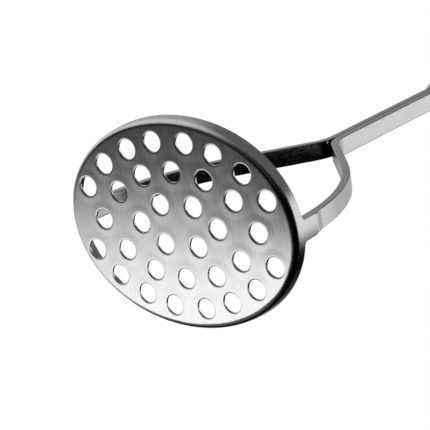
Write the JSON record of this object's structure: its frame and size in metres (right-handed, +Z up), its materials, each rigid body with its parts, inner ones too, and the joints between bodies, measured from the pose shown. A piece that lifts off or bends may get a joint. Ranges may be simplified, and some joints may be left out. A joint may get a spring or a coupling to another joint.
{
  "type": "potato masher",
  "caption": "All-metal potato masher: a pierced oval plate on two flat bars that meet in a pointed arch and run up as a slim stem to a hollow grip with a hanging eye.",
  "frame": {"origin": "centre of the underside of the pressing plate", "axes": "+X along the plate's long axis, +Y along its short axis, +Z up the handle"},
  "size_m": [0.11, 0.085, 0.3],
  "materials": {
    "plate_steel": "brushed across the plate",
    "bar_steel": "satin, brushed along the bar",
    "weld_steel": "ground smooth",
    "grip_steel": "satin, brushed along the grip"
  },
  "bodies": {
    "root": {"pressing_plate": "plate_steel", "right_bar": "bar_steel", "left_bar": "bar_steel", "right_foot_weld": "weld_steel", "left_foot_weld": "weld_steel", "crotch_weld": "weld_steel", "grip_collar": "grip_steel", "tang_plate": "bar_steel", "grip_front_shell": "grip_steel", "grip_back_shell": "grip_steel", "grip_end": "grip_steel"}
  },
  "joints": []
}
